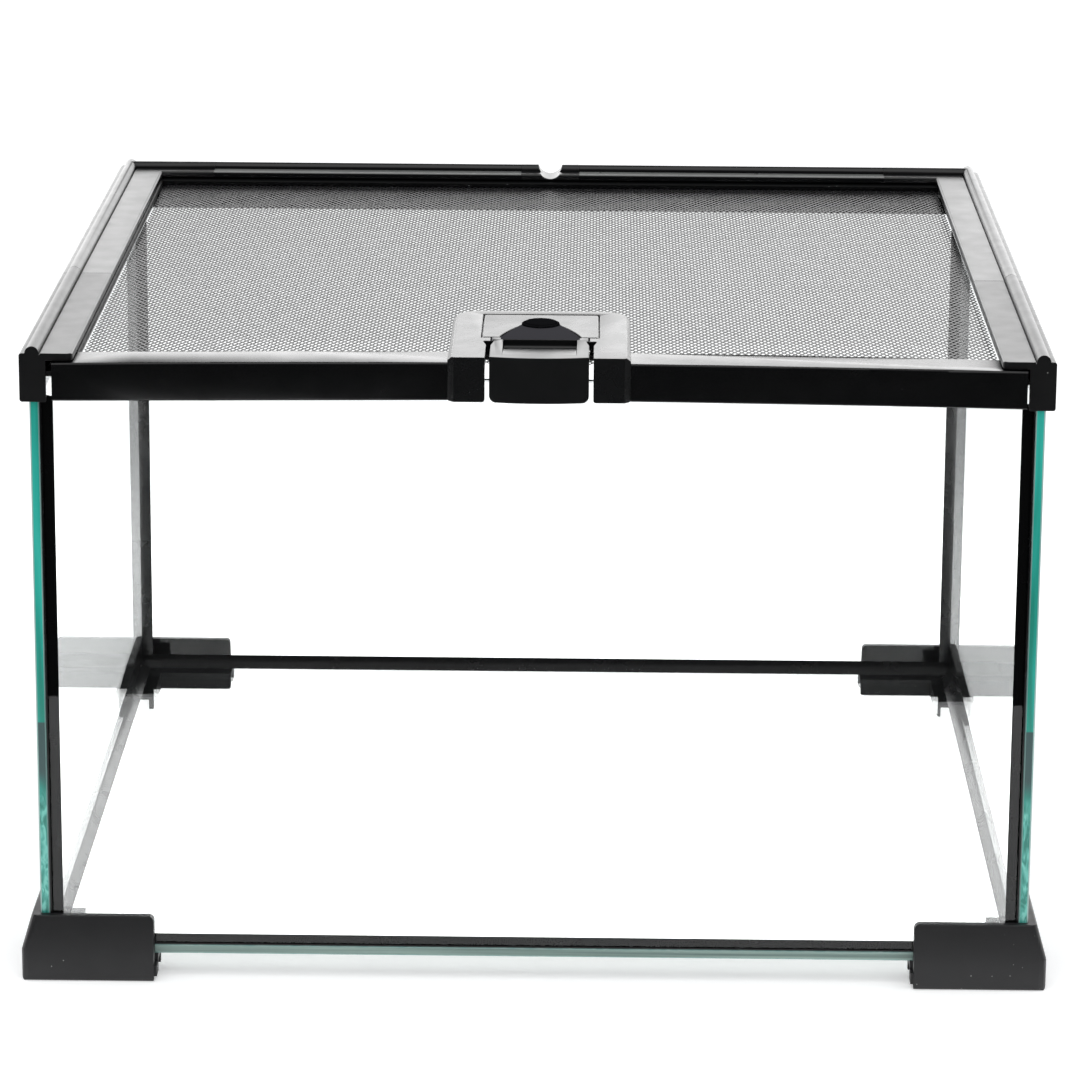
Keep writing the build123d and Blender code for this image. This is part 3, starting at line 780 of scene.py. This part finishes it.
@dataclass
class Latch(Mouldings):
    """Latch: housing, flush cover and the rocking tongue with its mound and button.

    Attributes:
        housing_ease: Width of the eased edges of the housing.
        cover_ease: Width of those of the cover.
        tongue_ease: Width of those of the tongue.
        mound_front: Where the tongue's mound begins, behind the step of the thumb hollow.
        mound_above: Height above which the tongue's rear part is in view.
        button_above: Height above which a face may be the button's.
        button_axis: Upright axis of the button, across and along.
        button_reach: Largest distance of its faces from that axis.
    """

    housing_ease: float = 0.16 * MM
    cover_ease: float = 0.1 * MM
    tongue_ease: float = 0.2 * MM
    mound_front: float = -129.6 * MM
    mound_above: float = 194.9 * MM
    button_above: float = 197.35 * MM
    button_axis: tuple[float, float] = (0.6 * MM, -118.0 * MM)
    button_reach: float = 5.9 * MM

    def on_mound(self, centre: Vector) -> bool:
        """True behind the step of the thumb hollow, where the mound rises to the button and a sheen
        is painted in grey.
        """
        return centre.y > self.mound_front and centre.z > self.mound_above

    def on_button(self, centre: Vector) -> bool:
        """True on the round thumb button."""
        reach = (Vector((centre.x, centre.y)) - Vector(self.button_axis)).length
        return centre.z > self.button_above and reach < self.button_reach

    def trims(self) -> list[Trim]:
        """The latch's pieces.

        Returns:
            The housing, the cover and the tongue.
        """
        # the mound's faces take a painted sheen in lighter grey; the button stays dark
        matt = [("mound_plastic", self.on_mound), ("button_rubber", self.on_button)]
        return [
            Trim(["latch_housing"], Slot.LATCH, Body.LID, self.housing_ease, clamp=False),
            Trim(["latch_cover"], Slot.LATCH, Body.LID, self.cover_ease),
            Trim(["latch_tongue"], Slot.TONGUE, Body.LATCH, self.tongue_ease, patches=matt,
                 clamp=False),
        ]


# --------------------------------------------------------------------------- glass
class End(Enum):
    """Outward directions of a pane's ends."""

    LEFT = (-1.0, 0.0, 0.0)
    RIGHT = (1.0, 0.0, 0.0)
    FRONT = (0.0, -1.0, 0.0)
    REAR = (0.0, 1.0, 0.0)


@dataclass
class Pane:
    """One sheet of float glass with ground edges.

    Attributes:
        node: CAD node that the pane replaces.
        teal: Directions of the ends with a ground teal edge; the other ends are clear.
        edge: Name of the material of those ends.
        arris: Width of the ground bevel in metres.
    """

    node: str
    teal: tuple[End, ...] = ()
    edge: str = "glass_edge"
    arris: float = 0.45 * MM

    def finish_of(self, normal: Vector) -> int:
        """Number of a face's material: 0 clear, 1 ground end, 2 bevel beside it, paler as a painted
        highlight.

        Args:
            normal: Normal of the face.
        Returns:
            The number.
        """
        square_on, aslant = 0.9, 0.6
        facing = max((normal.dot(end.value) for end in self.teal), default=0.0)
        return 1 if facing > square_on else 2 if facing > aslant else 0

    def build(self, materials: Materials) -> None:
        """Makes the sheet with a clear material on its faces and a ground one on its edges.

        Args:
            materials: The finishes.
        """
        low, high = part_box(self.node)
        shape = bmesh.new()
        bmesh.ops.create_cube(shape, size=1.0)
        for vertex in shape.verts:
            vertex.co = Vector([low[i] if vertex.co[i] < 0 else high[i] for i in range(3)])
        bmesh.ops.bevel(shape, geom=list(shape.edges), offset=self.arris, segments=1,
                        affect="EDGES")
        bmesh.ops.recalc_face_normals(shape, faces=shape.faces)
        for face in shape.faces:
            face.material_index = self.finish_of(face.normal)
        mesh = bpy.data.meshes.new(self.node + "_sheet")
        shape.to_mesh(mesh)
        shape.free()
        for name in ("glass", self.edge, "glass_arris"):
            mesh.materials.append(materials.named[name])
        seat(link(self.node + "_sheet", mesh), Body.TANK, self.node)


@dataclass
class GlassBox:
    """Floor pane and four walls; only the ends that aren't bonded show a ground edge.

    Attributes:
        panes: The sheets.
    """

    panes: tuple[Pane, ...] = (
        Pane("bottom_glass", tuple(End), "glass_edge_floor"),
        Pane("front_glass"),
        Pane("rear_glass"),
        Pane("left_glass", (End.FRONT,)),
        Pane("right_glass", (End.FRONT,)),
    )

    def build(self, materials: Materials) -> None:
        """Builds every sheet."""
        for pane in self.panes:
            pane.build(materials)


# --------------------------------------------------------------------------- mesh of the lid
@dataclass
class ExpandedMesh:
    """Expanded metal sheet of staggered diamonds, laid out with Geometry Nodes.

    Attributes:
        pitch_x: Width of a diamond in metres.
        pitch_y: Length of a diamond in metres.
        open_share: Width of the gap as a share of the pitch.
        panels: Number of pieces the sheet is made in.
        half_thick: Half the thickness of a strand.
        twist: Rise of a hole's right corner, and drop of its left one, from the stretching.
        lean: Largest random lean of a cell about each level axis, in radians.
        weld: Distance within which the strands of neighbours are joined.
        seed: Seed of the leans.
    """

    pitch_x: float = 2.12 * MM
    pitch_y: float = 4.0 * MM
    open_share: float = 0.73
    panels: int = 4
    half_thick: float = 0.09 * MM
    twist: float = 0.06 * MM
    lean: float = 0.008
    weld: float = 0.05 * MM
    seed: int = 7

    def cell(self, material: bpy.types.Material) -> bpy.types.Object:
        """One diamond of four flat strands, twisted a little round its left and right corners.

        Args:
            material: The coated metal.
        Returns:
            The diamond, which isn't in the scene.
        """
        half_x, half_y = self.pitch_x / 2, self.pitch_y / 2
        corners = [(half_x, 0.0, self.twist), (0.0, half_y, 0.0),
                   (-half_x, 0.0, -self.twist), (0.0, -half_y, 0.0)]
        shape = bmesh.new()

        def ring(share: float, height: float, turned: float) -> list[bmesh.types.BMVert]:
            """Four corners at a share of the diamond's size and of its twist."""
            return [shape.verts.new((x * share, y * share, height + rise * turned))
                    for x, y, rise in corners]

        top, under = ring(1.0, self.half_thick, 0.0), ring(1.0, -self.half_thick, 0.0)
        lip, lip_under = (ring(self.open_share, side * self.half_thick, 1.0) for side in (1, -1))
        for i in range(4):
            j = (i + 1) % 4
            shape.faces.new((top[i], top[j], lip[j], lip[i]))
            shape.faces.new((lip[i], lip[j], lip_under[j], lip_under[i]))
            shape.faces.new((lip_under[i], lip_under[j], under[j], under[i]))
        mesh = bpy.data.meshes.new("diamond")
        shape.to_mesh(mesh)
        shape.free()
        mesh.materials.append(material)
        return bpy.data.objects.new("diamond", mesh)

    def layout(self) -> tuple[bpy.types.NodeTree, dict[str, str]]:
        """Builds the node tree that lays out the cells in two staggered grids.

        Returns:
            The tree and the identifier of each named input.
        """
        tree = bpy.data.node_groups.new("expanded_mesh", "GeometryNodeTree")
        wanted = [("Cell", "NodeSocketObject"), ("Material", "NodeSocketMaterial"),
                  ("Columns", "NodeSocketInt"), ("Rows", "NodeSocketInt"),
                  ("Pitch X", "NodeSocketFloat"), ("Pitch Y", "NodeSocketFloat"),
                  ("Centre", "NodeSocketVector"), ("Seed", "NodeSocketInt")]
        keys = {label: tree.interface.new_socket(label, in_out="INPUT", socket_type=kind).identifier
                for label, kind in wanted}
        tree.interface.new_socket("Geometry", in_out="OUTPUT", socket_type="NodeSocketGeometry")
        nodes = Nodes(tree)
        given, out = nodes.add("NodeGroupInput").outputs, nodes.add("NodeGroupOutput")
        cell = nodes.add("GeometryNodeObjectInfo", {"Object": given["Cell"]})
        joined = nodes.add("GeometryNodeJoinGeometry")
        for fewer in (0, 1):
            columns = nodes.math("SUBTRACT", given["Columns"], fewer)
            rows = nodes.math("SUBTRACT", given["Rows"], fewer)
            across = nodes.math("MULTIPLY", nodes.math("SUBTRACT", columns, 1), given["Pitch X"])
            along = nodes.math("MULTIPLY", nodes.math("SUBTRACT", rows, 1), given["Pitch Y"])
            grid = nodes.add("GeometryNodeMeshGrid", {
                "Size X": across, "Size Y": along, "Vertices X": columns, "Vertices Y": rows})
            leaning = nodes.add("FunctionNodeRandomValue", {"Seed": given["Seed"]},
                                data_type="FLOAT_VECTOR")
            leaning.inputs[0].default_value = (-self.lean, -self.lean, 0.0)
            leaning.inputs[1].default_value = (self.lean, self.lean, 0.0)
            laid = nodes.add("GeometryNodeInstanceOnPoints", {
                "Points": grid.outputs["Mesh"], "Instance": cell.outputs["Geometry"],
                "Rotation": leaning.outputs[0]})
            nodes.feed(joined.inputs[0], laid.outputs[0])
        real = nodes.add("GeometryNodeRealizeInstances", {0: joined.outputs[0]})
        merged = nodes.add("GeometryNodeMergeByDistance", {
            0: real.outputs[0], "Distance": self.weld})
        moved = nodes.add("GeometryNodeSetPosition", {
            0: merged.outputs[0], "Offset": given["Centre"]})
        painted = nodes.add("GeometryNodeSetMaterial", {
            0: moved.outputs[0], "Material": given["Material"]})
        nodes.feed(out.inputs[0], painted.outputs[0])
        return tree, keys

    def build(self, materials: Materials) -> None:
        """Lays the sheet as panels side by side and puts them in place of the CAD sheet.

        Args:
            materials: The finishes.
        """
        material = materials.named["mesh"]
        low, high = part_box("lid_mesh")
        cell = self.cell(material)
        tree, keys = self.layout()
        columns = int((high.x - low.x) / self.pitch_x) // self.panels
        rows = int((high.y - low.y) / self.pitch_y)
        for number in range(self.panels):
            middle = (low + high) / 2
            middle.x += (number - (self.panels - 1) / 2) * columns * self.pitch_x
            piece = link(f"lid_mesh_{number}", bpy.data.meshes.new("panel"))
            lay = piece.modifiers.new("lay", "NODES")
            lay.node_group = tree
            for label, value in (("Cell", cell), ("Material", material), ("Columns", columns + 1),
                                 ("Rows", rows), ("Pitch X", self.pitch_x),
                                 ("Pitch Y", self.pitch_y), ("Centre", tuple(middle)),
                                 ("Seed", self.seed)):
                lay[keys[label]] = value
            seat(applied(piece), Body.LID, "lid_mesh")


# --------------------------------------------------------------------------- studio
@dataclass(frozen=True)
class Surround:
    """Strengths of the white surround, by what looks at it.

    Attributes:
        plain: For the camera, also straight through glass.
        ambient: For matt surfaces.
        backdrop: For reflections, low behind the object.
        over_backdrop: For reflections, high behind it.
        room: For reflections, low in front of it.
        over_room: For reflections, high in front of it.
        rises: Upward parts of a direction between which low turns to high.
        turns: Backward parts of a direction between which front turns to behind.
        level: Upward parts between which a bent ray stops counting as sinking.
        leaves: Backward parts between which a bent ray starts counting as going behind.
        straight: Largest count of bounces, other than passes through glass, of a straight path.
    """

    plain: float = 1.3
    ambient: float = 0.8
    backdrop: float = 2.85
    over_backdrop: float = 0.2
    room: float = 0.03
    over_room: float = 0.1
    rises: tuple[float, float] = (0.33, 0.5)
    turns: tuple[float, float] = (0.0, 0.55)
    level: tuple[float, float] = (-0.03, 0.02)
    leaves: tuple[float, float] = (0.0, 0.3)
    straight: float = 1.5


@dataclass
class Studio:
    """Floor, light, surround and the fitted camera.

    Attributes:
        lens: Focal length in millimetres on a sensor 36 mm wide.
        place: Place of the camera.
        pitch: How far it looks down, in radians.
        roll: How far it leans, in radians.
        yaw: How far it turns, in radians.
        floor_front: Where the floor ends in front, out of the camera's view.
        floor_back: Where it ends behind.
        floor_side: Half its width.
        floor_glow: Strength that keeps the floor as white as the surround.
        near_glow: Further strength for rays bent by glass that meet the near floor aslant.
        near_ends: Distances behind the middle between which that strength fades out.
        aslant: Slants between which that strength comes in; 1 is along the floor.
        lamp_place: Place of the lamp.
        lamp_size: Width and depth of its soft face.
        lamp_watts: Its power.
        surround: Strengths of the surround.
    """

    lens: float = 156.555
    place: Vector = field(default_factory=lambda: Vector((0.01703, -1.49779, 0.50172)))
    pitch: float = 0.262987
    roll: float = 0.00638608
    yaw: float = 0.01177858
    floor_front: float = -0.44
    floor_back: float = 3.0
    floor_side: float = 0.6
    floor_glow: float = 0.35
    near_glow: float = 1.1
    near_ends: tuple[float, float] = (0.3, 0.6)
    aslant: tuple[float, float] = (0.4, 0.6)
    lamp_place: tuple[float, float, float] = (0.0, -0.5, 2.2)
    lamp_size: tuple[float, float] = (3.0, 2.4)
    lamp_watts: float = 25.0
    surround: Surround = Surround()

    def camera(self) -> None:
        """Sets up the camera at the fitted angle."""
        ahead = Vector((-math.sin(self.yaw) * math.cos(self.pitch),
                        math.cos(self.yaw) * math.cos(self.pitch), -math.sin(self.pitch)))
        level = Vector((math.cos(self.yaw), math.sin(self.yaw), 0.0))
        above = level.cross(ahead)
        right = math.cos(self.roll) * level + math.sin(self.roll) * above
        up = -math.sin(self.roll) * level + math.cos(self.roll) * above
        lens = bpy.data.cameras.new("camera")
        lens.lens, lens.sensor_width, lens.sensor_fit = self.lens, 36.0, "HORIZONTAL"
        lens.clip_start, lens.clip_end = 0.05, 50.0
        camera = bpy.data.objects.new("camera", lens)
        bpy.context.scene.collection.objects.link(camera)
        camera.matrix_world = Matrix((
            (right.x, up.x, -ahead.x, self.place.x), (right.y, up.y, -ahead.y, self.place.y),
            (right.z, up.z, -ahead.z, self.place.z), (0.0, 0.0, 0.0, 1.0)))
        bpy.context.scene.camera = camera

    def plainly_seen(self, nodes: Nodes, way: bpy.types.Node) -> bpy.types.NodeSocket:
        """Tells which rays see the surround as the camera does.

        These are the camera's own rays, those that glass alone has bent, and those that leave
        glass downwards and to the rear after a reflection.

        Args:
            nodes: Builder over the world's tree.
            way: Parts of the ray's direction.
        Returns:
            The share, 0 to 1.
        """
        path, limits = nodes.add("ShaderNodeLightPath").outputs, self.surround
        other = nodes.math("SUBTRACT", path["Ray Depth"], path["Transmission Depth"])
        straight = nodes.math("MULTIPLY", path["Is Transmission Ray"],
                              nodes.math("LESS_THAN", other, limits.straight))
        sinking = nodes.flipped(nodes.smooth(way.outputs["Z"], *limits.level))
        behind = nodes.smooth(way.outputs["Y"], *limits.leaves)
        through = nodes.math("MULTIPLY", path["Is Transmission Ray"],
                             nodes.math("MULTIPLY", sinking, behind))
        bent = nodes.math("MAXIMUM", straight, through)
        return nodes.math("MAXIMUM", path["Is Camera Ray"], bent)

    def world(self) -> None:
        """White surround: bright behind, dim in front of the object for what it reflects."""
        world = bpy.data.worlds.new("studio")
        bpy.context.scene.world = world
        world.use_nodes = True
        world.node_tree.nodes.clear()
        nodes, strengths = Nodes(world.node_tree), self.surround
        ray = nodes.add("ShaderNodeTexCoord").outputs["Generated"]
        way = nodes.add("ShaderNodeSeparateXYZ", {0: ray})
        behind = nodes.smooth(way.outputs["Y"], *strengths.turns)
        above = nodes.smooth(way.outputs["Z"], *strengths.rises)
        front = nodes.fade(above, strengths.room, strengths.over_room)
        rear = nodes.fade(above, strengths.backdrop, strengths.over_backdrop)
        seen = nodes.math("ADD", nodes.math("MULTIPLY", front, nodes.flipped(behind)),
                          nodes.math("MULTIPLY", rear, behind))
        glossy = nodes.add("ShaderNodeBackground", {"Color": WHITE, "Strength": seen})
        plain = nodes.add("ShaderNodeBackground", {"Color": WHITE, "Strength": strengths.plain})
        ambient = nodes.add("ShaderNodeBackground", {
            "Color": (0.97, 0.985, 1.0, 1.0), "Strength": strengths.ambient})
        path = nodes.add("ShaderNodeLightPath").outputs
        shiny = nodes.math("MAXIMUM", path["Is Glossy Ray"], path["Is Transmission Ray"])
        lit = nodes.shaders(shiny, ambient, glossy)
        shown = nodes.shaders(self.plainly_seen(nodes, way), lit, plain)
        nodes.add("ShaderNodeOutputWorld", {"Surface": shown.outputs[0]})

    def floor(self) -> None:
        """Pale floor that ends a little in front of the object, out of the camera's view."""
        mesh = bpy.data.meshes.new("floor")
        side, front, back = self.floor_side, self.floor_front, self.floor_back
        corners = [(-side, front, 0.0), (side, front, 0.0), (side, back, 0.0), (-side, back, 0.0)]
        mesh.from_pydata(corners, [], [(0, 1, 2, 3)])
        floor = link("floor", mesh)
        material = bpy.data.materials.new("floor")
        material.use_nodes = True
        material.node_tree.nodes.clear()
        nodes = Nodes(material.node_tree)
        card = nodes.add("ShaderNodeBsdfDiffuse", {"Color": (0.85, 0.85, 0.85, 1.0)})
        glow = nodes.add("ShaderNodeEmission", {"Color": WHITE, "Strength": self.floor_glow})
        plain = nodes.add("ShaderNodeAddShader", {0: card.outputs[0], 1: glow.outputs[0]})
        along = nodes.add("ShaderNodeSeparateXYZ", {0: nodes.place()}).outputs["Y"]
        near = nodes.flipped(nodes.smooth(along, *self.near_ends))
        turned = nodes.add("ShaderNodeLayerWeight", {"Blend": 0.5}).outputs["Facing"]
        share = nodes.math("MULTIPLY", near, nodes.smooth(turned, *self.aslant))
        bright = nodes.add("ShaderNodeEmission", {
            "Color": WHITE, "Strength": nodes.math("MULTIPLY", share, self.near_glow)})
        lifted = nodes.add("ShaderNodeAddShader", {0: plain.outputs[0], 1: bright.outputs[0]})
        bent = nodes.add("ShaderNodeLightPath").outputs["Is Transmission Ray"]
        shown = nodes.shaders(bent, plain, lifted)
        nodes.add("ShaderNodeOutputMaterial", {"Surface": shown.outputs[0]})
        mesh.materials.append(material)

    def lamp(self) -> None:
        """One wide soft lamp overhead, a little in front, turned to the object."""
        place = Vector(self.lamp_place)
        lamp = bpy.data.lights.new("overhead", "AREA")
        lamp.shape, lamp.energy = "RECTANGLE", self.lamp_watts
        lamp.size, lamp.size_y = self.lamp_size
        holder = bpy.data.objects.new("overhead", lamp)
        bpy.context.scene.collection.objects.link(holder)
        holder.location = place
        holder.rotation_euler = (-place).to_track_quat("-Z", "Y").to_euler()

    def build(self) -> None:
        """Sets up the whole studio."""
        self.camera()
        self.world()
        self.floor()
        self.lamp()
        view = bpy.context.scene.view_settings
        view.view_transform, view.look = "Standard", "None"


# --------------------------------------------------------------------------- main
def clear_scene() -> None:
    """Removes whatever the default file holds."""
    for thing in list(bpy.data.objects):
        bpy.data.objects.remove(thing)


def paint_nodes(frame: dict, materials: Materials) -> None:
    """Gives every CAD node the finish of its slot; the seals, keys and strips keep it.

    Args:
        frame: The loaded frame.
        materials: The finishes.
    """
    slots = {entry["node"]: entry["material_slot"] for entry in frame["record"]["subparts"]}
    for name, node in frame["nodes"].items():
        node.data.materials.clear()
        node.data.materials.append(materials.named[slots[name]])
        for face in node.data.polygons:
            face.use_smooth = True
        node.data.set_sharp_from_angle(angle=CREASE)
        LOG.info("%s: painted %s", name, slots[name])


def main() -> None:
    """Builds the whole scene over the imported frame."""
    logging.basicConfig(level=logging.INFO)
    clear_scene()
    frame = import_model()
    materials = Materials()
    paint_nodes(frame, materials)
    for mouldings in (Feet(), TopRails(), LidBars(), Latch()):
        mouldings.build(frame, materials)
    GlassBox().build(materials)
    ExpandedMesh().build(materials)
    Studio().build()


if __name__ == "__main__":
    main()
